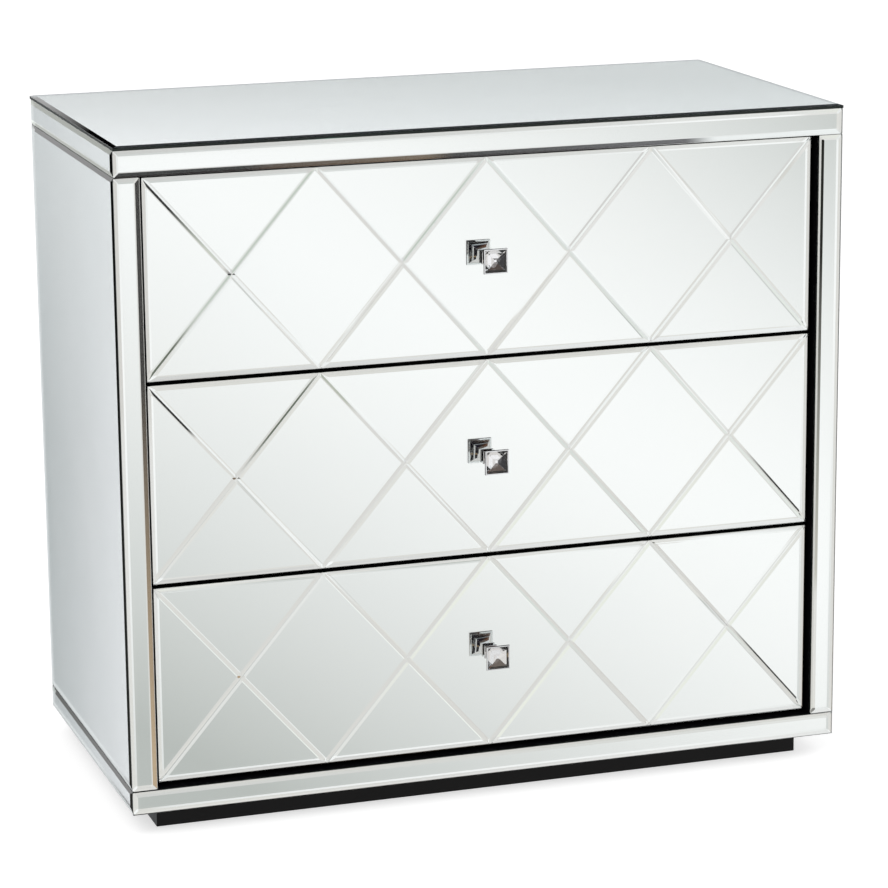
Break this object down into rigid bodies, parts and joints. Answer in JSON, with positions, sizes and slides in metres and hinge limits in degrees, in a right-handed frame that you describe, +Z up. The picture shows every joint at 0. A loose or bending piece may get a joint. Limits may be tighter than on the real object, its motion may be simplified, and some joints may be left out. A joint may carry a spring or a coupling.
{
  "type": "mirrored chest of drawers",
  "caption": "Straight-sided mirrored chest of stacked drawers with bevelled lattice fronts, square crystal knobs, a recessed black plinth and full-extension ball-bearing slides.",
  "frame": {"origin": "on the floor, under the middle of the whole chest with its knobs", "axes": "+X to the right seen from the front, +Y from the drawer fronts to the back, +Z up"},
  "size_m": [0.914, 0.477, 0.838],
  "materials": {
    "mirror_glass": "bevelled silvered float glass, 5 mm",
    "black_board": "satin black painted fibreboard",
    "back_hardboard": "dark stained hardboard",
    "drawer_wood": "planed light hardwood, clear sealed",
    "drawer_plywood": "thin plywood, clear sealed",
    "chrome": "polished chrome-plated zinc",
    "crystal": "clear square-cut crystal on foil",
    "zinc_plated_steel": "bright zinc-plated rolled steel"
  },
  "bodies": {
    "carcass": {"top_board": "black_board", "bottom_board": "black_board", "side_board_right": "black_board", "side_board_left": "black_board", "stile_post_right": "black_board", "stile_post_left": "black_board", "back_panel": "back_hardboard", "back_panel_screws": "zinc_plated_steel", "runner_battens": "black_board", "cabinet_slide_channels": "zinc_plated_steel", "divider_rail_lower": "black_board", "divider_rail_upper": "black_board", "plinth_front": "black_board", "plinth_back": "black_board", "plinth_right": "black_board", "plinth_left": "black_board", "top_mirror": "mirror_glass", "stile_mirror_right": "mirror_glass", "stile_mirror_left": "mirror_glass", "apron_mirror_front": "mirror_glass", "base_mirror_front": "mirror_glass", "apron_mirror_left": "mirror_glass", "apron_mirror_right": "mirror_glass", "base_mirror_left": "mirror_glass", "base_mirror_right": "mirror_glass", "side_mirror_left": "mirror_glass", "side_mirror_right": "mirror_glass"},
    "bottom_drawer": {"bottom_drawer_mirror": "mirror_glass", "bottom_drawer_front_board": "black_board", "bottom_drawer_side_right": "drawer_wood", "bottom_drawer_side_left": "drawer_wood", "bottom_drawer_back": "drawer_wood", "bottom_drawer_bottom": "drawer_plywood", "bottom_drawer_knob": "chrome", "bottom_drawer_crystal": "crystal", "bottom_drawer_knob_screw": "zinc_plated_steel", "bottom_drawer_slide_channels": "zinc_plated_steel"},
    "bottom_slide_middles": {"bottom_slide_middle_channels": "zinc_plated_steel"},
    "middle_drawer": {"middle_drawer_mirror": "mirror_glass", "middle_drawer_front_board": "black_board", "middle_drawer_side_right": "drawer_wood", "middle_drawer_side_left": "drawer_wood", "middle_drawer_back": "drawer_wood", "middle_drawer_bottom": "drawer_plywood", "middle_drawer_knob": "chrome", "middle_drawer_crystal": "crystal", "middle_drawer_knob_screw": "zinc_plated_steel", "middle_drawer_slide_channels": "zinc_plated_steel"},
    "middle_slide_middles": {"middle_slide_middle_channels": "zinc_plated_steel"},
    "top_drawer": {"top_drawer_mirror": "mirror_glass", "top_drawer_front_board": "black_board", "top_drawer_side_right": "drawer_wood", "top_drawer_side_left": "drawer_wood", "top_drawer_back": "drawer_wood", "top_drawer_bottom": "drawer_plywood", "top_drawer_knob": "chrome", "top_drawer_crystal": "crystal", "top_drawer_knob_screw": "zinc_plated_steel", "top_drawer_slide_channels": "zinc_plated_steel"},
    "top_slide_middles": {"top_slide_middle_channels": "zinc_plated_steel"}
  },
  "joints": [
    {"name": "bottom_drawer_slide", "type": "slide", "parent": "carcass", "child": "bottom_drawer", "axis": [0, -1, 0], "range_m": [0, 0.35]},
    {"name": "bottom_middle_channel_slide", "type": "slide", "parent": "carcass", "child": "bottom_slide_middles", "axis": [0, -1, 0], "range_m": [0, 0.175]},
    {"name": "middle_drawer_slide", "type": "slide", "parent": "carcass", "child": "middle_drawer", "axis": [0, -1, 0], "range_m": [0, 0.35]},
    {"name": "middle_middle_channel_slide", "type": "slide", "parent": "carcass", "child": "middle_slide_middles", "axis": [0, -1, 0], "range_m": [0, 0.175]},
    {"name": "top_drawer_slide", "type": "slide", "parent": "carcass", "child": "top_drawer", "axis": [0, -1, 0], "range_m": [0, 0.35]},
    {"name": "top_middle_channel_slide", "type": "slide", "parent": "carcass", "child": "top_slide_middles", "axis": [0, -1, 0], "range_m": [0, 0.175]}
  ],
  "couplings": [
    {"joint": "bottom_middle_channel_slide", "follows": "bottom_drawer_slide", "ratio": 0.5},
    {"joint": "middle_middle_channel_slide", "follows": "middle_drawer_slide", "ratio": 0.5},
    {"joint": "top_middle_channel_slide", "follows": "top_drawer_slide", "ratio": 0.5}
  ]
}
